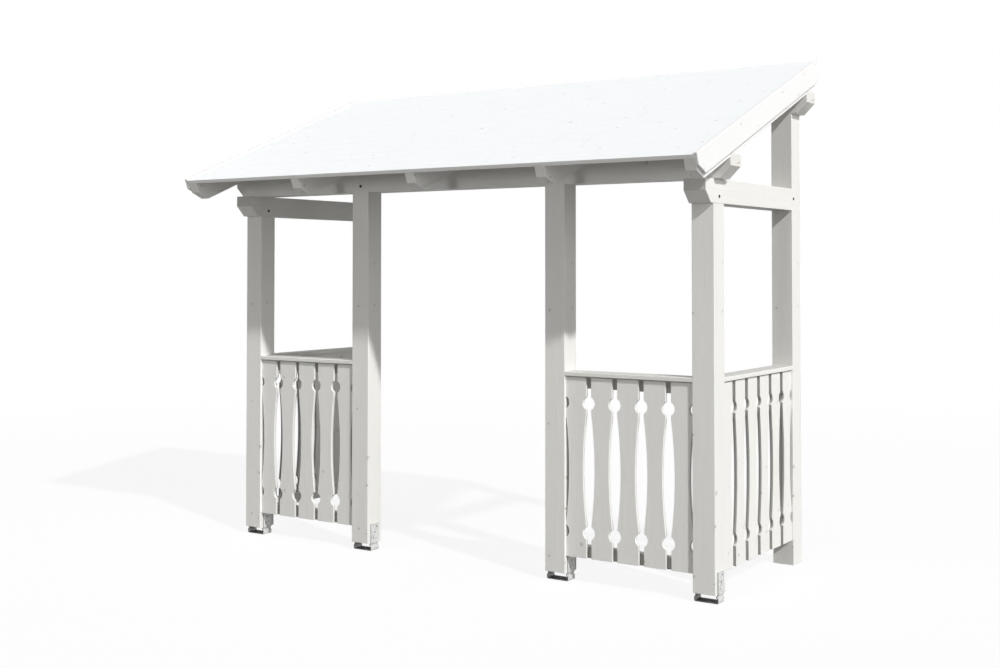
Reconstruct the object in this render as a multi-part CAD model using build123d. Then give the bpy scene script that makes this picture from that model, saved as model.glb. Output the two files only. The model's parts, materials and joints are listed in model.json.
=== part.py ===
from build123d import *
import math
import os

# Lean-to canopy for a house door: white timber frame, single-pitch board roof,
# pierced balustrades beside the passage, steel shoes under the front posts.
# Millimetres, +X right, +Y towards the wall, +Z up. The origin is on the ground,
# in the middle of the whole outline.

# Main frame
section = 120.0
frame_width = 3135.0
frame_depth = 1150.0
passage_width = 1200.0
beam_underside = 1950.0
post_lift = 45.0
arris = 2.0

# Ends of beams, purlins, rafters and verge boards
end_overhang = 90.0
bevel = 60.0
tenon_thickness = 40.0
tenon_width = 80.0
tenon_length = 60.0
joint_play = 0.5

# Roof
pitch_degrees = 22.0
eave_overhang = 414.0
rafter_width = 60.0
rafter_depth = 120.0
rafter_count = 5
rafter_end_overhang = 88.0
rafter_setback = 9.0
birdsmouth = 20.0
deck_thickness = 20.0
deck_board_cover = 120.0
groove_width = 6.0
groove_depth = 3.0
verge_thickness = 19.0
verge_depth = 120.0
verge_rise = 8.0

# Balustrades
rail_underside = 1070.0
rail_thickness = 24.0
rail_depth = 110.0
rail_arris = 3.0
board_foot = 135.0
board_width = 121.0
board_thickness = 18.0
board_recess = 12.0
board_gap_aim = 31.0
hole_radius = 35.5
upper_hole_below_rail = 137.0
lower_hole_above_foot = 131.0
upper_neck = 23.0
lower_neck = 6.0
lens_cut = 19.0
cross_rail_height = 62.0
cross_rail_thickness = 40.0

# Post shoes
strap_thickness = 5.0
strap_width = 70.0
strap_bend = 3.0
flange_height = 110.0
crimp_depth = 9.0
crimp_height = 24.0
screw_hole_radius = 4.5
screw_hole_sides = 16
screw_hole_count = 3
screw_hole_rise = 33.0
screw_hole_step = 15.0
top_hole_below_flange_top = 18.0
anchor_hole_radius = 6.5
strap_play = 1.0

# Worked out from the sizes above
pitch = math.radians(pitch_degrees)
half_section = section / 2
half_frame = frame_width / 2
half_passage = passage_width / 2
roof_half = half_frame + rafter_end_overhang
plan_depth = frame_depth + eave_overhang + verge_rise * math.sin(pitch)
wall_y = plan_depth / 2
front_y = wall_y - frame_depth
eave_y = front_y - eave_overhang
rear_front_y = wall_y - section
beam_top = beam_underside + section
front_purlin_top = beam_top + section
rafter_underside_front = front_purlin_top - birdsmouth
rear_purlin_top = front_purlin_top + (frame_depth - section) * math.tan(pitch)
rear_purlin_underside = rear_purlin_top - section
deck_normal_offset = rafter_depth + deck_thickness
deck_top_front = rafter_underside_front + deck_normal_offset / math.cos(pitch)
eave_z = deck_top_front - eave_overhang * math.tan(pitch)
outer_post_x = half_frame - half_section
inner_post_x = half_passage + half_section


def block(x_span, y_span, z_span):
    """A straight timber between three pairs of coordinates."""
    size = [span[1] - span[0] for span in (x_span, y_span, z_span)]
    middle = [(span[0] + span[1]) / 2 for span in (x_span, y_span, z_span)]
    return Pos(*middle) * Box(*size)


def bar(x_span, y_span, z_span, along, edge=arris):
    """A planed timber with its long edges broken, which run along the given axis."""
    timber = block(x_span, y_span, z_span)
    return chamfer(timber.edges().filter_by(along), edge)


def prism_along_x(outline, x_span):
    """A prism with its outline in Y and Z, from one X to the other."""
    face = Plane.YZ.offset(x_span[0]) * make_face(Polyline(*outline, close=True))
    return extrude(face, x_span[1] - x_span[0])


def prism_along_y(outline, y_span):
    """A prism with its outline in X and Z, from one Y to the other."""
    face = Plane.XZ.offset(-y_span[1]) * make_face(Polyline(*outline, close=True))
    return extrude(face, y_span[1] - y_span[0])


def break_edges(timber, across):
    """The timber with a small chamfer round both of its faces across the given axis."""
    cheeks = timber.faces().filter_by(across)
    return chamfer(cheeks.edges(), arris)


def roof_point(along, below):
    """Y and Z of a point so far up the slope from the eave and below the roof's top."""
    y = eave_y + along * math.cos(pitch) + below * math.sin(pitch)
    z = eave_z + along * math.sin(pitch) - below * math.cos(pitch)
    return (y, z)


def roof_point_at_wall(below):
    """Y and Z of the point at the wall, so far below the roof's top along its normal."""
    along = (wall_y - eave_y - below * math.sin(pitch)) / math.cos(pitch)
    return roof_point(along, below)


def sloping_board(start, top, depth, x_span):
    """A board up the slope, bevelled at the eave and cut plumb at the wall."""
    outline = [
        roof_point(start, top),
        roof_point_at_wall(top),
        roof_point_at_wall(top + depth),
        roof_point(start + bevel, top + depth),
        roof_point(start, top + depth - bevel),
    ]
    return break_edges(prism_along_x(outline, x_span), Axis.X)


def tenon(x_middle, y_middle, z_span, play=0.0):
    """The upright tongue on top of an outer front post, or its mortise with play."""
    half_x = tenon_thickness / 2 + play
    half_y = tenon_width / 2 + play
    return block(
        (x_middle - half_x, x_middle + half_x),
        (y_middle - half_y, y_middle + half_y),
        (z_span[0], z_span[1] + play),
    )


def outer_front_post(x_middle):
    """A front corner post with the tenon that holds the side beam."""
    shaft = bar(
        (x_middle - half_section, x_middle + half_section),
        (front_y, front_y + section),
        (post_lift, beam_underside),
        Axis.Z,
    )
    tenon_z = (beam_underside, beam_underside + tenon_length)
    return shaft + tenon(x_middle, front_y + half_section, tenon_z)


def purlin_lap(x_middle):
    """The front half of an inner post's head, which fills the notch in the purlin."""
    return block(
        (x_middle - half_section, x_middle + half_section),
        (front_y, front_y + half_section),
        (beam_top, front_purlin_top),
    )


def inner_front_post(x_middle):
    """A post beside the passage, halved into the front purlin."""
    shaft = bar(
        (x_middle - half_section, x_middle + half_section),
        (front_y, front_y + section),
        (post_lift, beam_top),
        Axis.Z,
    )
    return shaft + purlin_lap(x_middle)


def beam_tenon(x_middle, play=0.0):
    """The tongue on the side beam's back end, or its mortise with play."""
    half_x = tenon_thickness / 2 + play
    half_z = tenon_width / 2 + play
    z_middle = beam_underside + half_section
    return block(
        (x_middle - half_x, x_middle + half_x),
        (rear_front_y, rear_front_y + tenon_length + play),
        (z_middle - half_z, z_middle + half_z),
    )


def rear_post(x_middle):
    """A post against the wall, mortised for the side beam, under the rear purlin."""
    shaft = bar(
        (x_middle - half_section, x_middle + half_section),
        (rear_front_y, wall_y),
        (0.0, rear_purlin_underside),
        Axis.Z,
    )
    return shaft - beam_tenon(x_middle, joint_play)


def side_beam(x_middle):
    """A beam from a front corner post to the wall post, with a bevelled nose."""
    nose_y = front_y - end_overhang
    outline = [
        (nose_y, beam_top),
        (rear_front_y, beam_top),
        (rear_front_y, beam_underside),
        (nose_y + bevel, beam_underside),
        (nose_y, beam_underside + bevel),
    ]
    x_span = (x_middle - half_section, x_middle + half_section)
    beam = break_edges(prism_along_x(outline, x_span), Axis.X)
    mortise_z = (beam_underside, beam_underside + tenon_length)
    mortise = tenon(x_middle, front_y + half_section, mortise_z, joint_play)
    return beam + beam_tenon(x_middle) - mortise


def purlin(underside, y_span):
    """A beam along the eave or the wall, with both lower corners bevelled."""
    half_length = half_frame + end_overhang
    outline = [
        (-half_length, underside + section),
        (half_length, underside + section),
        (half_length, underside + bevel),
        (half_length - bevel, underside),
        (-half_length + bevel, underside),
        (-half_length, underside + bevel),
    ]
    return break_edges(prism_along_y(outline, y_span), Axis.Y)


def front_purlin():
    beam = purlin(beam_top, (front_y, front_y + section))
    for side in (-1, 1):
        beam -= purlin_lap(side * inner_post_x)
    return beam


def rafter(x_middle):
    """A rafter with a birdsmouth over each purlin."""
    x_span = (x_middle - rafter_width / 2, x_middle + rafter_width / 2)
    timber = sloping_board(rafter_setback, deck_thickness, rafter_depth, x_span)
    for y_start, top in ((front_y, front_purlin_top), (rear_front_y, rear_purlin_top)):
        timber -= block(x_span, (y_start, y_start + section), (top - section, top))
    return timber


def verge_board(side):
    """The board on the outer face of an end rafter."""
    x_span = sorted((side * roof_half, side * (roof_half + verge_thickness)))
    return sloping_board(0.0, -verge_rise, verge_depth, x_span)


def board_groove(along, below, outward):
    """A V-shaped joint between two roof boards, open at the given face."""
    half = groove_width / 2
    rim = below - outward * groove_depth
    outline = [
        roof_point(along - 2 * half, rim),
        roof_point(along + 2 * half, rim),
        roof_point(along, below + outward * groove_depth),
    ]
    return prism_along_x(outline, (-roof_half, roof_half))


def roof_deck():
    """Tongued boards along the eave, joined into one sheet with V grooves between them."""
    outline = [
        roof_point(0.0, 0.0),
        roof_point_at_wall(0.0),
        roof_point_at_wall(deck_thickness),
        roof_point(0.0, deck_thickness),
    ]
    deck = prism_along_x(outline, (-roof_half, roof_half))
    slope_length = (wall_y - eave_y) / math.cos(pitch)
    joints = math.ceil(slope_length / deck_board_cover) - 1
    for number in range(1, joints + 1):
        along = number * deck_board_cover
        deck -= board_groove(along, 0.0, 1)
        deck -= board_groove(along, deck_thickness, -1)
    return deck


def board_layout(span):
    """How many boards fill a span from post to post, and the gap between them."""
    count = round((span + board_gap_aim) / (board_width + board_gap_aim))
    gap = (span - count * board_width) / (count - 1)
    return count, gap


def board_face(gap):
    """One balustrade board seen from outside, its foot at the origin."""
    height = rail_underside - board_foot
    edge = board_width / 2
    lower = lower_hole_above_foot
    upper = height - upper_hole_below_rail
    hole_bite = hole_radius - gap / 2
    hole_half = math.sqrt(hole_radius**2 - (gap / 2) ** 2)
    lens_low = lower + hole_half + lower_neck
    lens_high = upper - hole_half - upper_neck

    def edge_lines(side):
        x = side * edge
        bitten = side * (edge - hole_bite)
        waist = side * (edge - lens_cut)
        return [
            Line((x, 0), (x, lower - hole_half)),
            ThreePointArc((x, lower - hole_half), (bitten, lower), (x, lower + hole_half)),
            Line((x, lower + hole_half), (x, lens_low)),
            ThreePointArc((x, lens_low), (waist, (lens_low + lens_high) / 2), (x, lens_high)),
            Line((x, lens_high), (x, upper - hole_half)),
            ThreePointArc((x, upper - hole_half), (bitten, upper), (x, upper + hole_half)),
            Line((x, upper + hole_half), (x, height)),
        ]

    foot = Line((-edge, 0), (edge, 0))
    head = Line((-edge, height), (edge, height))
    return make_face([foot, head] + edge_lines(1) + edge_lines(-1))


def board_row(span):
    """Boards side by side in the XZ plane from X 0 to the span, thick towards -Y."""
    count, gap = board_layout(span)
    board = extrude(Plane.XZ * board_face(gap), board_thickness)
    places = [board_width / 2 + number * (board_width + gap) for number in range(count)]
    return Compound(children=[Pos(x, 0, board_foot) * board for x in places])


def front_span():
    """X of both ends of the front balustrade on the right."""
    return (inner_post_x + half_section, outer_post_x - half_section)


def flange_pockets(side):
    """Room for the shoes' flanges at both ends of a front balustrade."""
    reach = strap_thickness + strap_play
    half_width = strap_width / 2 + strap_play
    y_middle = front_y + half_section
    start, end = front_span()
    pockets = []
    for x_low, x_high in ((start, start + reach), (end - reach, end)):
        x_span = sorted((side * x_low, side * x_high))
        y_span = (y_middle - half_width, y_middle + half_width)
        pockets.append(block(x_span, y_span, (0.0, post_lift + flange_height + strap_play)))
    return pockets


def front_boards(side):
    start, end = front_span()
    row = board_row(end - start)
    x = start if side > 0 else -end
    placed = Pos(x, front_y + board_recess + board_thickness, 0) * row
    return Compound(children=[board - flange_pockets(side) for board in placed.solids()])


def side_boards(side):
    start, end = front_y + section, rear_front_y
    row = board_row(end - start)
    outer_x = half_frame - board_recess
    x = outer_x - board_thickness if side > 0 else -outer_x
    return Pos(x, start, 0) * Rot(0, 0, 90) * row


def front_bar(side, y_span, z_span, edge=arris):
    """A straight piece between two front posts."""
    x_span = sorted(side * x for x in front_span())
    return bar(x_span, y_span, z_span, Axis.X, edge)


def side_bar(side, inset_span, z_span, edge=arris):
    """A straight piece between a front corner post and a wall post."""
    x_span = sorted(side * (half_frame - inset) for inset in inset_span)
    return bar(x_span, (front_y + section, rear_front_y), z_span, Axis.Y, edge)


def strap_path():
    """The inner line of the shoe's strap: down one side, along the ground, up the other."""
    top = post_lift + flange_height
    right = [
        (half_section, top),
        (half_section, post_lift),
        (half_section - crimp_depth, post_lift - crimp_height / 2),
        (half_section, post_lift - crimp_height),
        (half_section, strap_thickness),
    ]
    left = [(-x, z) for x, z in right]
    line = Polyline(*left, *reversed(right))
    return fillet(line.vertices().group_by(Axis.Y)[0], strap_bend)


def post_shoe(x_middle):
    """A galvanised strap bent round the post's foot, with a crimp that the post sits on."""
    path = Plane.XZ * strap_path()
    wall = offset(path, strap_thickness, side=Side.LEFT)
    strap = extrude(make_face(wall), strap_width / 2, both=True)
    # The many small holes have flat sides, which keeps the faces few
    reach = section + 4 * strap_thickness
    hole = extrude(RegularPolygon(screw_hole_radius, screw_hole_sides), reach / 2, both=True)
    top_hole = post_lift + flange_height - top_hole_below_flange_top
    for number in range(screw_hole_count):
        y = screw_hole_step * ((screw_hole_count - 1) / 2 - number)
        z = top_hole - number * screw_hole_rise
        strap -= Pos(0, y, z) * Rot(0, 90, 0) * hole
    strap -= Cylinder(anchor_hole_radius, 4 * strap_thickness)
    return Pos(x_middle, front_y + half_section, 0) * strap


def build():
    """Every piece by its name."""
    pieces = {}
    for name, side in (("left", -1), ("right", 1)):
        pieces[f"post_front_outer_{name}"] = outer_front_post(side * outer_post_x)
        pieces[f"post_front_inner_{name}"] = inner_front_post(side * inner_post_x)
        pieces[f"post_rear_{name}"] = rear_post(side * outer_post_x)
        pieces[f"side_beam_{name}"] = side_beam(side * outer_post_x)
        pieces[f"verge_board_{name}"] = verge_board(side)
        pieces[f"post_shoe_outer_{name}"] = post_shoe(side * outer_post_x)
        pieces[f"post_shoe_inner_{name}"] = post_shoe(side * inner_post_x)
        pieces[f"balustrade_front_{name}"] = front_boards(side)
        pieces[f"balustrade_side_{name}"] = side_boards(side)

        rail_z = (rail_underside, rail_underside + rail_thickness)
        upper_z = (rail_underside - cross_rail_height, rail_underside)
        lower_z = (board_foot, board_foot + cross_rail_height)
        rail_inset = (0.0, rail_depth)
        back = board_recess + board_thickness
        cross_inset = (back, back + cross_rail_thickness)
        front_rail_y = tuple(front_y + inset for inset in rail_inset)
        front_cross_y = tuple(front_y + inset for inset in cross_inset)
        pieces[f"handrail_front_{name}"] = front_bar(side, front_rail_y, rail_z, rail_arris)
        pieces[f"upper_rail_front_{name}"] = front_bar(side, front_cross_y, upper_z)
        lower_bar = front_bar(side, front_cross_y, lower_z)
        pieces[f"lower_rail_front_{name}"] = lower_bar - flange_pockets(side)
        pieces[f"handrail_side_{name}"] = side_bar(side, rail_inset, rail_z, rail_arris)
        pieces[f"upper_rail_side_{name}"] = side_bar(side, cross_inset, upper_z)
        pieces[f"lower_rail_side_{name}"] = side_bar(side, cross_inset, lower_z)

    pieces["front_purlin"] = front_purlin()
    pieces["rear_purlin"] = purlin(rear_purlin_underside, (rear_front_y, wall_y))
    first_x = -roof_half + rafter_width / 2
    rafter_pitch = -2 * first_x / (rafter_count - 1)
    for number in range(rafter_count):
        pieces[f"rafter_{number + 1}"] = rafter(first_x + number * rafter_pitch)
    pieces["roof_deck"] = roof_deck()
    return pieces


os.makedirs("parts", exist_ok=True)
for piece_name, piece in build().items():
    export_step(piece, f"parts/{piece_name}.step")
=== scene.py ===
import json
import math
import random

import bmesh
import bpy
from mathutils import Matrix, Vector

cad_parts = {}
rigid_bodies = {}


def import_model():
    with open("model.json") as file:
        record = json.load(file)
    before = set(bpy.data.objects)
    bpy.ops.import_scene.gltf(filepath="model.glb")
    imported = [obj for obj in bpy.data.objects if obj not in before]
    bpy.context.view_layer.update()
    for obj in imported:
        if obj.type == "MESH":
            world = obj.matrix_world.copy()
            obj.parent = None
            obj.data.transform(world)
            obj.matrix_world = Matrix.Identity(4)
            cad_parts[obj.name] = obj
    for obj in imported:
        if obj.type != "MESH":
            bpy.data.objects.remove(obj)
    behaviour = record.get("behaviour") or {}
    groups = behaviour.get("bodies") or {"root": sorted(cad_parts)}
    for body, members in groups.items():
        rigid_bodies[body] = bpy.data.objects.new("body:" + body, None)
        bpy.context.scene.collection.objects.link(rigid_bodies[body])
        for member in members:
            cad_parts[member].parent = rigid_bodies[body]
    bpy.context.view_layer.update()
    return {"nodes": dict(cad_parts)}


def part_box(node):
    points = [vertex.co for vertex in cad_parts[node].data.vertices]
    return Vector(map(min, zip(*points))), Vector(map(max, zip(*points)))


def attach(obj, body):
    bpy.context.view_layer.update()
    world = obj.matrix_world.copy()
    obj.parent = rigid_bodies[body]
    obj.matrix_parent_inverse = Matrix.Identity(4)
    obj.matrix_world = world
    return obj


# A white glazed timber canopy on a pale floor, in metres and in the frame's own axes

for thing in list(bpy.data.objects):
    bpy.data.objects.remove(thing)

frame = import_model()
nodes = frame["nodes"]

# Directions in which a timber's grain or a row of boards runs
pitch = math.radians(22.0)
up_the_roof = (0.0, math.cos(pitch), math.sin(pitch))
out_of_the_roof = (0.0, -math.sin(pitch), math.cos(pitch))
ways = {"x": (1.0, 0.0, 0.0), "y": (0.0, 1.0, 0.0), "z": (0.0, 0.0, 1.0), "slope": up_the_roof}

# Sizes that the details share with the timbers
deck_board_cover = 0.12
deck_thickness = 0.02
eave_joint_x = 0.459
butt_joint_spread = 2.4
board_width = 0.121
board_counts = {"front": 5, "side": 6}
rail_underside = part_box("handrail_front_left")[0].z
open_joint_shadow_height = 0.004

# How wide a modifier rounds the edges
timber_edge = 0.0012
board_edge = 0.0010
deck_edge = 0.0006
steel_edge = 0.0004

# How the wood grew
ring_width = 0.0036
whorl_spacing = 0.23
branch_turn = 2 * math.pi / 5
widest_knot = 0.0105
knot_shortening = 0.72

# How far the pith lies from the middle of a timber that was sawn beside the trunk's heart,
# and how far it lies under the top of the deck
pith_beside_rafter = 0.045
pith_beside_verge = 0.055
pith_under_rail = 0.05
pith_behind_boards = 0.06
pith_under_deck = 0.07

# Colours of the finish and its faults, and colours that paint light or shade
glaze = (0.800, 0.792, 0.765, 1.0)
board_glaze = (0.806, 0.798, 0.772, 1.0)
# The roof's paler, bluish glaze is painted sky light on the roof
roof_glaze_painted_sky_light = (0.880, 0.900, 0.915, 1.0)
# The right verge's paler glaze is painted sunlight on its lit side
verge_glaze_painted_sunlight = (0.850, 0.850, 0.845, 1.0)
# The rafters' paler glaze is painted light on their shaded ends
rafter_glaze_painted_light = (0.890, 0.882, 0.862, 1.0)
# Painted shade for the deck's eave edge and underside
eave_painted_shade = (0.760, 0.715, 0.650, 1.0)
# Painted shade on faces that lie in shade, such as undersides and recesses
painted_shade_colour = (0.270, 0.263, 0.248, 1.0)
late_wood = (0.640, 0.600, 0.520, 1.0)
knot_wood = (0.290, 0.240, 0.180, 1.0)
knot_heart = (0.070, 0.055, 0.045, 1.0)
zinc = (0.700, 0.700, 0.688, 1.0)
zinc_shadow = (0.400, 0.402, 0.398, 1.0)
zinc_cloud = (0.52, 0.52, 0.50, 1.0)
steel_painted_shade = (0.045, 0.043, 0.040, 1.0)
dark_steel = (0.045, 0.045, 0.048, 1.0)
worn_steel = (0.11, 0.11, 0.115, 1.0)
plain_white = (1.0, 1.0, 1.0, 1.0)

# Light: lamps far away as (name, the direction the light comes from, strength, width in degrees)
lamps = [
    ("key", (2.614, -1.0, 2.202), 3.06, 2.0),
    ("right_low", (1.0, -0.20, 0.08), 1.40, 40.0),
    ("front_low", (0.0, -1.0, 0.01), 0.38, 10.0),
    ("front_rising", (0.0, -1.0, 0.14), 0.19, 10.0),
    ("front_high", (-0.15, -1.0, 1.73), 0.43, 40.0),
    ("front_left", (-1.0, -1.0, 0.20), 0.17, 40.0),
    ("back_left", (-1.0, 0.42, 0.28), 0.85, 30.0),
]
sky_strength = 0.05
sky_colour = (0.985, 0.995, 1.0, 1.0)
floor_bounce = (0.215, 0.215, 0.21, 1.0)
floor_seen = (0.93, 0.93, 0.93, 1.0)
floor_glow = 0.90
floor_fade = (5.0, 11.0)
floor_half = 40.0

# The camera at the photograph's viewing angle
camera_place = (4.2516, -6.2684, 1.6368)
camera_tilt = math.radians(91.386)
camera_turn = math.radians(33.703)
camera_lens = 47.32
camera_shift = -0.0986


class Shader:
    """Adds nodes to a shader tree, and is called s below.

    A plain value stays on the node's own socket, and a socket is linked to it."""

    def __init__(self, tree):
        self.tree = tree

    def fill(self, socket, value):
        if isinstance(value, bpy.types.NodeSocket):
            self.tree.links.new(value, socket)
        else:
            socket.default_value = value

    def add(self, kind, values=None, **settings):
        node = self.tree.nodes.new(kind)
        for name, setting in settings.items():
            setattr(node, name, setting)
        for key, value in (values or {}).items():
            self.fill(node.inputs[key], value)
        return node

    def math(self, operation, a, b=0.0):
        return self.add("ShaderNodeMath", {0: a, 1: b}, operation=operation).outputs[0]

    def plus(self, a, b):
        return self.math("ADD", a, b)

    def minus(self, a, b):
        return self.math("SUBTRACT", a, b)

    def times(self, a, b):
        return self.math("MULTIPLY", a, b)

    def rest(self, share):
        return self.math("SUBTRACT", 1.0, share)

    def sum_of(self, start, parts):
        """The start plus each part times its share."""
        for part, share in parts:
            start = self.plus(start, self.times(part, share))
        return start

    def vector(self, operation, a, b=(0.0, 0.0, 0.0)):
        node = self.add("ShaderNodeVectorMath", {0: a, 1: b}, operation=operation)
        return node.outputs["Value" if operation in ("LENGTH", "DOT_PRODUCT") else "Vector"]

    def combine(self, x, y, z):
        return self.add("ShaderNodeCombineXYZ", {0: x, 1: y, 2: z}).outputs[0]

    def split(self, vector):
        return self.add("ShaderNodeSeparateXYZ", {0: vector}).outputs

    def noise(self, vector, scale, detail=2.0, roughness=0.5):
        values = {"Vector": vector, "Scale": scale, "Detail": detail, "Roughness": roughness}
        return self.add("ShaderNodeTexNoise", values).outputs

    def stretched_noise(self, vector, scales, detail, roughness=0.5):
        """Noise with a scale of its own on each axis."""
        return self.noise(self.vector("MULTIPLY", vector, scales), 1.0, detail, roughness)["Fac"]

    def step(self, value, start, end):
        """0 before the start, 1 past the end and smooth between them."""
        values = {"Value": value, "From Min": start, "From Max": end}
        node = self.add("ShaderNodeMapRange", values, interpolation_type="SMOOTHSTEP")
        return node.outputs["Result"]

    def blend(self, factor, a, b):
        """Colour a, changed into colour b by the factor."""
        node = self.add("ShaderNodeMix", {"Factor": factor}, data_type="RGBA")
        self.fill(node.inputs[6], a)
        self.fill(node.inputs[7], b)
        return node.outputs[2]

    def bump(self, height, strength, distance):
        values = {"Strength": strength, "Distance": distance, "Height": height}
        return self.add("ShaderNodeBump", values).outputs[0]

    def seen(self):
        """1 for the rays that show the background: to the camera, off gloss and through glass."""
        ray = self.add("ShaderNodeLightPath").outputs
        shown = self.math("MAXIMUM", ray["Is Camera Ray"], ray["Is Glossy Ray"])
        return self.math("MAXIMUM", shown, ray["Is Transmission Ray"])


def new_material(name):
    """An empty material with its shader tree and its object coordinates."""
    material = bpy.data.materials.new(name)
    material.use_nodes = True
    material.node_tree.nodes.clear()
    s = Shader(material.node_tree)
    return material, s, s.add("ShaderNodeTexCoord").outputs


def principled(s, values):
    surface = s.add("ShaderNodeBsdfPrincipled", values)
    s.add("ShaderNodeOutputMaterial", {"Surface": surface.outputs[0]})


def node_group(name, inputs, outputs):
    """A shader group with its sockets, each given as (name, kind)."""
    tree = bpy.data.node_groups.new(name, "ShaderNodeTree")
    for way, sockets in (("INPUT", inputs), ("OUTPUT", outputs)):
        for socket, kind in sockets:
            tree.interface.new_socket(socket, in_out=way, socket_type=f"NodeSocket{kind}")
    s = Shader(tree)
    return tree, s, s.add("NodeGroupInput").outputs, s.add("NodeGroupOutput").inputs


def knot_masks(s, given, shifted, radius, turn, along):
    """Where a knot, its dark heart, its rim and the bent grain round it lie.

    Branches grow out from the pith, so a knot is a spot in turn and height."""
    place = s.combine(
        s.math("DIVIDE", turn, branch_turn),
        s.math("DIVIDE", along, whorl_spacing),
        s.times(given["Seed"], 3.0),
    )
    place = s.vector("ADD", place, (7.3, 2.9, 0.0))
    values = {"Vector": place, "Scale": 1.0, "Randomness": 0.62}
    cell = s.add("ShaderNodeTexVoronoi", values, voronoi_dimensions="2D")

    # The knot is longer along the grain than across it, with a ragged outline
    from_centre = s.vector("SUBTRACT", place, cell.outputs["Position"])
    across_cell, along_cell, _ = s.split(from_centre)
    across = s.times(s.times(across_cell, branch_turn), radius)
    lengthwise = s.times(along_cell, whorl_spacing * knot_shortening)
    ragged = s.noise(shifted, 150.0, 2.0)["Fac"]
    reach = s.math("SQRT", s.plus(s.times(across, across), s.times(lengthwise, lengthwise)))
    reach = s.plus(reach, s.times(s.minus(ragged, 0.5), 0.004))

    # Fewer than half of the spots hold a knot, and some knots have a dark heart
    chances = s.split(cell.outputs["Color"])
    size = s.times(s.step(chances[0], 0.60, 1.15), widest_knot)
    size = s.times(size, given["Knots"])
    inner = s.minus(size, reach)
    knot = s.step(inner, -0.0006, 0.0012)
    heart = s.times(s.step(inner, 0.0015, 0.0045), s.step(chances[1], 0.35, 0.6))
    rim = s.times(s.step(inner, -0.0022, -0.0002), s.rest(s.step(inner, 0.0, 0.0016)))
    halo = s.times(s.step(inner, -0.030, 0.0), s.step(size, 0.001, 0.004))
    return knot, heart, rim, halo


def late_wood_rings(s, shifted, radius, halo):
    """The darker wood that ends each ring. Rings are tighter in places and swell round a knot."""
    swell = s.times(halo, 0.0065)
    uneven = s.stretched_noise(shifted, (40.0, 40.0, 1.1), 1.0)
    ring = s.plus(s.math("DIVIDE", s.plus(radius, swell), ring_width), s.times(uneven, 1.6))
    part = s.math("FRACT", ring)
    return s.times(s.step(part, 0.42, 0.88), s.rest(s.step(part, 0.90, 1.0)))


def glazed_wood_group():
    """Glazed softwood in grain space: Z runs along the grain, and X and Y start at the pith."""
    inputs = [("Grain", "Vector"), ("Seed", "Float"), ("End", "Float")]
    inputs += [("Glaze", "Color"), ("Knots", "Float"), ("Figure", "Float")]
    outputs = [("Color", "Color"), ("Roughness", "Float"), ("Height", "Float")]
    tree, s, given, result = node_group("glazed_wood", inputs, outputs)
    shift = s.combine(given["Seed"], s.times(given["Seed"], 1.7), 0.0)
    shifted = s.vector("ADD", given["Grain"], shift)

    # Slow waves of the trunk bend the rings
    slow = s.vector("MULTIPLY", shifted, (3.2, 3.2, 0.9))
    sway = s.vector("SUBTRACT", s.noise(slow, 1.0, 2.0)["Color"], (0.5, 0.5, 0.5))
    bent = s.vector("ADD", given["Grain"], s.vector("MULTIPLY", sway, (0.034, 0.034, 0.0)))
    x, y, along = s.split(bent)
    radius = s.math("SQRT", s.plus(s.times(x, x), s.times(y, y)))
    turn = s.math("ARCTAN2", y, x)
    knot, heart, rim, halo = knot_masks(s, given, shifted, radius, turn, along)
    late = late_wood_rings(s, shifted, radius, halo)

    # Short fibres and the brushed coat over them
    fibre = s.stretched_noise(shifted, (620.0, 620.0, 9.0), 3.0, 0.6)
    streak = s.stretched_noise(shifted, (75.0, 75.0, 1.6), 3.0, 0.55)
    patch = s.stretched_noise(shifted, (9.0, 9.0, 2.2), 3.0, 0.6)

    # End grain shows its rings more and takes up more of the glaze
    tint = s.times(late, s.plus(0.125, s.times(given["End"], 0.16)))
    tint = s.sum_of(
        tint,
        [
            (s.rest(fibre), 0.065),
            (s.step(streak, 0.45, 0.80), 0.10),
            (s.step(patch, 0.48, 0.85), 0.07),
            (halo, 0.05),
            (given["End"], 0.10),
        ],
    )
    colour = s.blend(s.times(tint, given["Figure"]), given["Glaze"], late_wood)
    colour = s.blend(s.times(knot, 0.32), colour, knot_wood)
    colour = s.blend(s.times(rim, 0.28), colour, knot_heart)
    colour = s.blend(s.times(heart, 0.55), colour, knot_heart)
    s.fill(result["Color"], colour)

    rough = s.sum_of(0.46, [(patch, 0.14), (late, -0.05), (given["End"], 0.12)])
    s.fill(result["Roughness"], rough)

    height = s.times(late, 0.55)
    height = s.sum_of(height, [(fibre, 0.50), (patch, 0.35), (rim, -0.90), (knot, 0.35)])
    s.fill(result["Height"], s.times(height, given["Figure"]))
    return tree


wood_group = glazed_wood_group()


def turned_to_grain(s, place, grain):
    """The place with its Z turned along the grain: x, y, z, or slope for up the roof."""
    x, y, z = s.split(place)
    if grain == "slope":
        normal = s.vector("DOT_PRODUCT", place, out_of_the_roof)
        return s.combine(x, normal, s.vector("DOT_PRODUCT", place, up_the_roof))
    turned = {"x": (y, z, x), "y": (x, z, y), "z": (x, y, z)}
    return s.combine(*turned[grain])


def grain_of_board(s, place, space, row, seed_value):
    """The number of a board in its row, and grain space moved to a pith of the board's own."""
    axis, start, step = row
    along = s.vector("DOT_PRODUCT", place, ways[axis])
    number = s.math("FLOOR", s.math("DIVIDE", s.minus(along, start), step))
    values = {"W": s.plus(number, seed_value)}
    chance = s.add("ShaderNodeTexWhiteNoise", values, noise_dimensions="1D")
    jitter = s.vector("SUBTRACT", chance.outputs["Color"], (0.5, 0.5, 0.5))

    # The pith starts from the board's own middle, so that it stays close
    middle = s.plus(s.times(s.plus(number, 0.5), step), start)
    across = {"x": (1.0, 0.0), "y": (0.0, 1.0), "slope": (math.cos(pitch), math.sin(pitch))}[axis]
    moved = s.combine(s.times(middle, across[0]), s.times(middle, across[1]), 0.0)
    space = s.vector("SUBTRACT", space, moved)
    return number, s.vector("ADD", space, s.vector("MULTIPLY", jitter, (0.05, 0.05, 3.0)))


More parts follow.
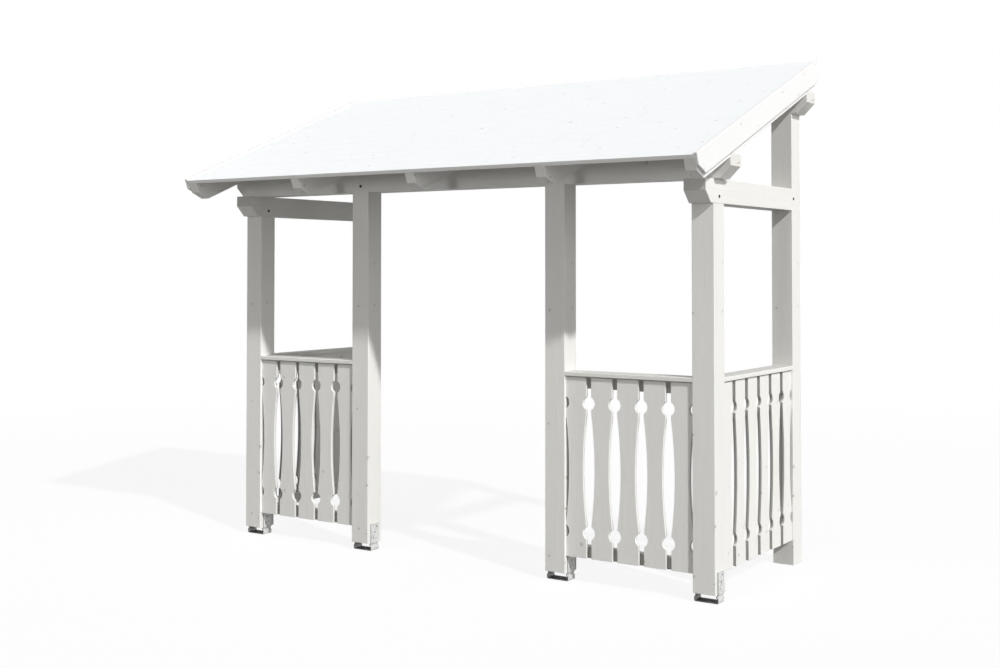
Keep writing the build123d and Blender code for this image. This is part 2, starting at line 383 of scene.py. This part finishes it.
def glazed_wood(
    name, grain, pith, colour, seed_value, knots=0.8, row=None, joint=None, figure=1.0, painted_shade=None
):
    """A material for one timber, or for a row of boards that each have a grain of their own.

    The pith is a point in grain space. A row is (axis, start, step). Knots and figure scale
    the knots' size and the grain's strength. Painted shade is (share, directions, colour): faces
    that look those ways show that share of the colour, as painted shade."""
    material, s, coordinates = new_material(name)
    place = coordinates["Object"]
    space = turned_to_grain(s, place, grain)
    space = s.vector("SUBTRACT", space, (pith[0], pith[1], 0.0))
    number = 0.0
    if row:
        number, space = grain_of_board(s, place, space, row, seed_value)
    facing = s.math("ABSOLUTE", s.vector("DOT_PRODUCT", coordinates["Normal"], ways[grain]))
    values = {
        "Grain": space,
        "Seed": s.plus(seed_value, s.times(number, 0.37)),
        "End": s.step(facing, 0.55, 0.85),
        "Glaze": colour,
        "Knots": knots,
        "Figure": figure,
    }
    group = s.add("ShaderNodeGroup", values, node_tree=wood_group).outputs
    shade = group["Color"]
    height = group["Height"]
    # Painted shade: faces that look the given ways are darkened toward the shade colour
    if painted_shade:
        share, directions, shade_colour = painted_shade
        toward = 0.0
        for direction in directions:
            facing = s.vector("DOT_PRODUCT", coordinates["Normal"], direction)
            toward = s.math("MAXIMUM", toward, facing)
        shade = s.blend(s.times(s.step(toward, 0.75, 0.95), share), shade, shade_colour)
    if joint:
        shade, height = joint(s, place, number, shade, height)
    values = {"Base Color": shade, "Roughness": group["Roughness"], "Specular IOR Level": 0.18}
    values["Normal"] = s.bump(height, 0.45, 0.0006)
    principled(s, values)
    return material


def butt_joints(s, place, number, shade, height):
    """A hairline where two lengths of a roof board meet, at its own place in each board."""
    x = s.split(place)[0]
    chance = s.add("ShaderNodeTexWhiteNoise", {"W": number}, noise_dimensions="1D").outputs["Value"]
    meeting = s.times(s.minus(chance, 0.5), butt_joint_spread)
    is_first = s.math("LESS_THAN", s.math("ABSOLUTE", number), 0.5)
    meeting = s.plus(s.times(meeting, s.rest(is_first)), s.times(is_first, eave_joint_x))
    away = s.math("ABSOLUTE", s.minus(x, meeting))
    line = s.rest(s.step(away, 0.0006, 0.0016))
    shade = s.blend(s.times(line, 0.30), shade, knot_heart)
    return shade, s.minus(height, s.times(line, 2.5))


def open_joint_shadow(s, place, number, shade, height):
    """A painted shadow: the dark line of shade in the open joint between the tops of the boards and
    the handrail over them.
    """
    foot = rail_underside - open_joint_shadow_height
    line = s.step(s.split(place)[2], foot - 0.0005, foot + 0.0005)
    return s.blend(s.times(line, 0.85), shade, knot_heart), height


def galvanised():
    """Hot-dip galvanised steel: a mottled spangle, with painted shade on the faces that look front or
    back and on the base's upper faces low down.
    """
    material, s, coordinates = new_material("galvanised_steel_spangled")
    place = coordinates["Object"]
    warp = s.vector("MULTIPLY", s.noise(place, 60.0)["Color"], (0.010, 0.010, 0.010))
    warped = s.vector("ADD", place, warp)
    crystal = s.add("ShaderNodeTexVoronoi", {"Vector": warped, "Scale": 95.0})
    flake = s.split(crystal.outputs["Color"])[0]
    cloud = s.noise(place, 18.0, 4.0)["Fac"]
    grain = s.noise(place, 900.0, 2.0)["Fac"]
    shade = s.blend(s.times(s.step(flake, 0.15, 0.95), 0.55), zinc, zinc_shadow)
    shade = s.blend(s.times(s.step(cloud, 0.50, 0.75), 0.35), shade, zinc_cloud)

    # Painted shade: the faces that look front or back, and the upward faces low on the base, are
    # darkened
    _, toward_y, toward_z = s.split(coordinates["Normal"])
    low = s.rest(s.step(s.split(place)[2], 0.030, 0.060))
    painted_shade_front_back = s.times(s.step(s.math("ABSOLUTE", toward_y), 0.5, 0.9), 0.75)
    painted_shade_on_base = s.times(s.times(s.step(toward_z, 0.5, 0.9), low), 0.92)
    shade = s.blend(s.math("MAXIMUM", painted_shade_front_back, painted_shade_on_base), shade, steel_painted_shade)
    rough = s.sum_of(0.36, [(flake, 0.12), (cloud, 0.14), (painted_shade_on_base, 0.25)])
    height = s.plus(s.times(flake, 0.5), s.times(grain, 0.5))
    values = {"Base Color": shade, "Roughness": rough, "Metallic": 0.20}
    values["Normal"] = s.bump(height, 0.20, 0.0003)
    principled(s, values)
    return material


def screw_steel():
    """Dark zinc-coated screws, a little worn."""
    material, s, coordinates = new_material("dark_screw_steel")
    wear = s.noise(coordinates["Object"], 420.0, 3.0)["Fac"]
    shade = s.blend(s.step(wear, 0.50, 0.85), dark_steel, worn_steel)
    rough = s.sum_of(0.34, [(wear, 0.25)])
    principled(s, {"Base Color": shade, "Roughness": rough, "Metallic": 0.85})
    return material


def dress(node, material, edge):
    """Gives a CAD node its looks: one material, and edges rounded by a modifier."""
    thing = nodes[node]
    thing.data.materials.clear()
    thing.data.materials.append(material)
    weld = thing.modifiers.new("weld", "WELD")
    weld.merge_threshold = 0.00001
    flat = thing.modifiers.new("flat", "DECIMATE")
    flat.decimate_type = "DISSOLVE"
    flat.angle_limit = math.radians(0.5)
    soft = thing.modifiers.new("soft", "BEVEL")
    soft.width = edge
    soft.segments = 2
    soft.limit_method = "ANGLE"
    soft.angle_limit = math.radians(30.0)
    soft.harden_normals = True


def middle_of(node):
    low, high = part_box(node)
    return (low + high) / 2


def off_the_slope(y, z):
    """How far a point is from the line up the slope through the origin, along its normal."""
    return z * math.cos(pitch) - y * math.sin(pitch)


def up_the_slope(y, z):
    return y * math.cos(pitch) + z * math.sin(pitch)


# Sawn timbers: the pith is inside the posts and beams, and beside the boards
draws = random.Random(22)


def near(spread):
    """A random distance to either side."""
    return draws.uniform(-spread, spread)


def seed():
    """Where a timber lies in the noise, so that no two timbers are alike."""
    return draws.uniform(0.0, 40.0)


for side in ("left", "right"):
    for post in ("post_front_outer", "post_front_inner", "post_rear"):
        name = f"{post}_{side}"
        centre = middle_of(name)
        pith = (centre.x + near(0.022), centre.y + near(0.022))
        dress(name, glazed_wood(name, "z", pith, glaze, seed()), timber_edge)
    name = f"side_beam_{side}"
    centre = middle_of(name)
    pith = (centre.x + near(0.02), centre.z + near(0.02))
    # Painted shade on the side beam's front end face and its underside
    painted_shade = (0.50, [(0, -1, 0), (0, 0, -1)], painted_shade_colour)
    dress(name, glazed_wood(name, "y", pith, glaze, seed(), painted_shade=painted_shade), timber_edge)

for name in ("front_purlin", "rear_purlin"):
    centre = middle_of(name)
    pith = (centre.y + near(0.02), centre.z + near(0.02))
    dress(name, glazed_wood(name, "x", pith, glaze, seed()), timber_edge)

# The rafters get a paler glaze, painted light on their shaded ends
for number in range(1, 6):
    name = f"rafter_{number}"
    centre = middle_of(name)
    beside = centre.x + pith_beside_rafter
    pith = (beside + near(0.02), off_the_slope(centre.y, centre.z) + near(0.03))
    dress(name, glazed_wood(name, "slope", pith, rafter_glaze_painted_light, seed()), timber_edge)

# The right verge, on the lit side, gets a paler glaze as painted sunlight
for side, colour in (("left", glaze), ("right", verge_glaze_painted_sunlight)):
    name = f"verge_board_{side}"
    centre = middle_of(name)
    beside = centre.x + pith_beside_verge
    pith = (beside, off_the_slope(centre.y, centre.z) + near(0.02))
    verge_wood = glazed_wood(name, "slope", pith, colour, seed(), knots=0.6, figure=0.5)
    dress(name, verge_wood, timber_edge)

# The roof boards, each with its own grain and a paler, bluish glaze as painted sky light, with a
# warmer, darker colour painted as shade on the eave and the underside
deck_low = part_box("roof_deck")[0]
eave_y = deck_low.y
eave_z = deck_low.z + deck_thickness * math.cos(pitch)
under_deck = off_the_slope(eave_y, eave_z) - pith_under_deck
pith = (-under_deck * math.sin(pitch), under_deck * math.cos(pitch))
row = ("slope", up_the_slope(eave_y, eave_z), deck_board_cover)
eave_and_underside = [tuple(-part for part in way) for way in (up_the_roof, out_of_the_roof)]
painted_shade = (0.40, eave_and_underside, eave_painted_shade)
deck_wood = glazed_wood(
    "roof_deck", "x", pith, roof_glaze_painted_sky_light, 5.3, 0.75, row, butt_joints, figure=0.38, painted_shade=painted_shade
)
dress("roof_deck", deck_wood, deck_edge)

for side, out in (("left", -1), ("right", 1)):
    # Painted shade: the handrails' tops, and the cross rails' faces behind the boards, are darkened
    for rail in ("handrail", "upper_rail", "lower_rail"):
        for way, grain, outward in (("front", "x", (0, -1, 0)), ("side", "y", (out, 0, 0))):
            name = f"{rail}_{way}_{side}"
            centre = middle_of(name)
            across = centre.y if grain == "x" else centre.x
            pith = (across + near(0.03), centre.z - pith_under_rail + near(0.02))
            share, shaded_way = (0.28, (0, 0, 1)) if rail == "handrail" else (0.90, outward)
            painted_shade = (share, [shaded_way], painted_shade_colour)
            dress(name, glazed_wood(name, grain, pith, glaze, seed(), painted_shade=painted_shade), timber_edge)

    # The balustrade boards, each with its own grain
    for way, axis in (("front", "x"), ("side", "y")):
        name = f"balustrade_{way}_{side}"
        low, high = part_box(name)
        centre = (low + high) / 2
        start, end = (low.x, high.x) if axis == "x" else (low.y, high.y)
        gap = (end - start - board_counts[way] * board_width) / (board_counts[way] - 1)
        row = (axis, start - gap / 2, board_width + gap)
        if axis == "x":
            pith = (0.0, centre.y + pith_behind_boards)
        else:
            pith = (centre.x + pith_behind_boards, 0.0)
        # Painted shade on the side boards' edges that look front and back
        painted_shade = (0.65, [(0, -1, 0), (0, 1, 0)], painted_shade_colour) if way == "side" else None
        board_wood = glazed_wood(name, "z", pith, board_glaze, seed(), 0.7, row, open_joint_shadow, painted_shade=painted_shade)
        dress(name, board_wood, board_edge)

# The post shoes
steel = galvanised()
for side in ("left", "right"):
    for post in ("outer", "inner"):
        dress(f"post_shoe_{post}_{side}", steel, steel_edge)


star_lobes = 6


def turned_head(builder, rings, place, outward, segments=24):
    """A screw head turned from rings of (radius, height, star), on its axis at a place.

    The star is how far the ring's lobes reach, as a share of its radius."""
    turn = Vector(outward).to_track_quat("Z", "Y").to_matrix().to_4x4()
    frame_of_head = Matrix.Translation(place) @ turn
    loops = []
    for radius, height, star in rings:
        loop = []
        for number in range(segments):
            angle = 2 * math.pi * number / segments
            reach = radius * (1 + star * math.cos(star_lobes * angle))
            point = Vector((reach * math.cos(angle), reach * math.sin(angle), height))
            loop.append(builder.verts.new(frame_of_head @ point))
        loops.append(loop)
    for lower, upper in zip(loops, loops[1:]):
        for number in range(segments):
            after = (number + 1) % segments
            builder.faces.new((lower[number], lower[after], upper[after], upper[number]))
    builder.faces.new(loops[-1])
    builder.faces.new(list(reversed(loops[0])))


# Faces of a head below this area are shaded smooth, and its flat top isn't
largest_smooth_face = 0.00002


def heads(name, rings, places, material):
    """One piece that holds all screws of a kind. Places are (point, outward direction)."""
    builder = bmesh.new()
    for place, outward in places:
        turned_head(builder, rings, place, outward)
    mesh = bpy.data.meshes.new(name)
    builder.to_mesh(mesh)
    builder.free()
    for face in mesh.polygons:
        face.use_smooth = face.area < largest_smooth_face
    piece = bpy.data.objects.new(name, mesh)
    bpy.context.scene.collection.objects.link(piece)
    piece.data.materials.append(material)
    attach(piece, "root")


# Screw heads from the rim up and down into the star, as (radius, height over the wood, star)
sunk = -0.002
frame_head = [
    (0.0060, sunk, 0.0),
    (0.0086, 0.0002, 0.0),
    (0.0088, 0.0012, 0.0),
    (0.0080, 0.0020, 0.0),
    (0.0062, 0.0032, 0.0),
    (0.0036, 0.0036, 0.10),
    (0.0034, 0.0008, 0.10),
]
strap_head = [
    (0.0036, -0.0040, 0.0),
    (0.0042, -0.0016, 0.0),
    (0.0040, -0.0006, 0.0),
    (0.0022, -0.0003, 0.10),
    (0.0020, -0.0022, 0.10),
]
board_head = [
    (0.0030, sunk, 0.0),
    (0.0041, 0.0001, 0.0),
    (0.0040, 0.0004, 0.0),
    (0.0019, 0.0005, 0.10),
    (0.0017, -0.0015, 0.10),
]
screws = screw_steel()

# Frame screws: each side beam to its corner post and to its wall post, placed as (distance behind
# the purlin's front, height over the beam's underside), and each passage post to the purlin
beam_screws = [(0.0635, 0.035), (1.051, 0.065)]
purlin_screw_rise = 0.037
purlin_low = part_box("front_purlin")[0]
places = []
for side in ("left", "right"):
    beam_low, beam_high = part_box(f"side_beam_{side}")
    for face_x, outward in ((beam_low.x, -1), (beam_high.x, 1)):
        for behind, rise in beam_screws:
            point = Vector((face_x, purlin_low.y + behind, beam_low.z + rise))
            places.append((point, (outward, 0, 0)))
    post = middle_of(f"post_front_inner_{side}")
    point = Vector((post.x, purlin_low.y, purlin_low.z + purlin_screw_rise))
    places.append((point, (0, -1, 0)))
heads("frame_screws", frame_head, places, screws)

# Screws through the straps into the posts' feet, in a slanting row from the top
screws_in_strap = 3
first_below_top = 0.018
strap_screw_drop = 0.033
strap_screw_slant = 0.015
places = []
for side in ("left", "right"):
    for post in ("outer", "inner"):
        low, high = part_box(f"post_shoe_{post}_{side}")
        for number in range(screws_in_strap):
            y = (low.y + high.y) / 2 + strap_screw_slant * (1 - number)
            z = high.z - first_below_top - strap_screw_drop * number
            places.append((Vector((low.x, y, z)), (-1, 0, 0)))
            places.append((Vector((high.x, y, z)), (1, 0, 0)))
heads("shoe_screws", strap_head, places, screws)

# Screws from inside through the cross rails into every board
places = []
for side, out in (("left", -1), ("right", 1)):
    for level in ("upper_rail", "lower_rail"):
        for way, axis in (("front", 0), ("side", 1)):
            board_low, board_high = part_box(f"balustrade_{way}_{side}")
            low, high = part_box(f"{level}_{way}_{side}")
            step = (board_high[axis] - board_low[axis] - board_width) / (board_counts[way] - 1)
            for number in range(board_counts[way]):
                point = (low + high) / 2
                point[axis] = board_low[axis] + board_width / 2 + number * step
                if way == "front":
                    point.y = high.y
                    inward = (0, 1, 0)
                else:
                    point.x = low.x if side == "right" else high.x
                    inward = (-out, 0, 0)
                places.append((point, inward))
heads("board_screws", board_head, places, screws)


def pale_floor():
    """A white floor that keeps a light shadow and throws less light up than it shows."""
    material, s, coordinates = new_material("studio_floor")
    bounce = s.add("ShaderNodeBsdfDiffuse", {"Color": floor_bounce}).outputs[0]
    shown = s.add("ShaderNodeBsdfDiffuse", {"Color": floor_seen}).outputs[0]
    glow = s.add("ShaderNodeEmission", {"Color": plain_white, "Strength": 1.0}).outputs[0]
    far = s.step(s.vector("LENGTH", coordinates["Object"]), *floor_fade)
    share = s.plus(floor_glow, s.times(far, 1.0 - floor_glow))
    pale = s.add("ShaderNodeMixShader", {0: share, 1: shown, 2: glow}).outputs[0]
    surface = s.add("ShaderNodeMixShader", {0: s.seen(), 1: bounce, 2: pale}).outputs[0]
    s.add("ShaderNodeOutputMaterial", {"Surface": surface})
    return material


floor_mesh = bpy.data.meshes.new("floor")
corners = [(-floor_half, -floor_half, 0.0), (floor_half, -floor_half, 0.0)]
corners += [(floor_half, floor_half, 0.0), (-floor_half, floor_half, 0.0)]
floor_mesh.from_pydata(corners, [], [(0, 1, 2, 3)])
floor = bpy.data.objects.new("floor", floor_mesh)
bpy.context.scene.collection.objects.link(floor)
floor.data.materials.append(pale_floor())

# The sky: soft light for the object, plain white behind it
world = bpy.data.worlds.new("studio")
bpy.context.scene.world = world
world.use_nodes = True
world.node_tree.nodes.clear()
sky = Shader(world.node_tree)
soft = sky.add("ShaderNodeBackground", {"Color": sky_colour, "Strength": sky_strength})
white = sky.add("ShaderNodeBackground", {"Color": plain_white, "Strength": 1.0})
values = {0: sky.seen(), 1: soft.outputs[0], 2: white.outputs[0]}
both = sky.add("ShaderNodeMixShader", values)
sky.add("ShaderNodeOutputWorld", {"Surface": both.outputs[0]})


def distant_lamp(name, come_from, strength, degrees):
    """A lamp far away, whose light comes from the given direction and is soft by its angle."""
    lamp = bpy.data.lights.new(name, "SUN")
    lamp.energy = strength
    lamp.angle = math.radians(degrees)
    holder = bpy.data.objects.new(name, lamp)
    holder.rotation_euler = Vector(come_from).to_track_quat("Z", "Y").to_euler()
    bpy.context.scene.collection.objects.link(holder)


for lamp in lamps:
    distant_lamp(*lamp)

camera_data = bpy.data.cameras.new("camera")
camera_data.sensor_width = 36.0
camera_data.lens = camera_lens
camera_data.shift_y = camera_shift
camera_data.clip_end = 200.0
camera = bpy.data.objects.new("camera", camera_data)
camera.location = camera_place
camera.rotation_euler = (camera_tilt, 0.0, camera_turn)
bpy.context.scene.collection.objects.link(camera)
bpy.context.scene.camera = camera
bpy.context.scene.view_settings.view_transform = "Standard"
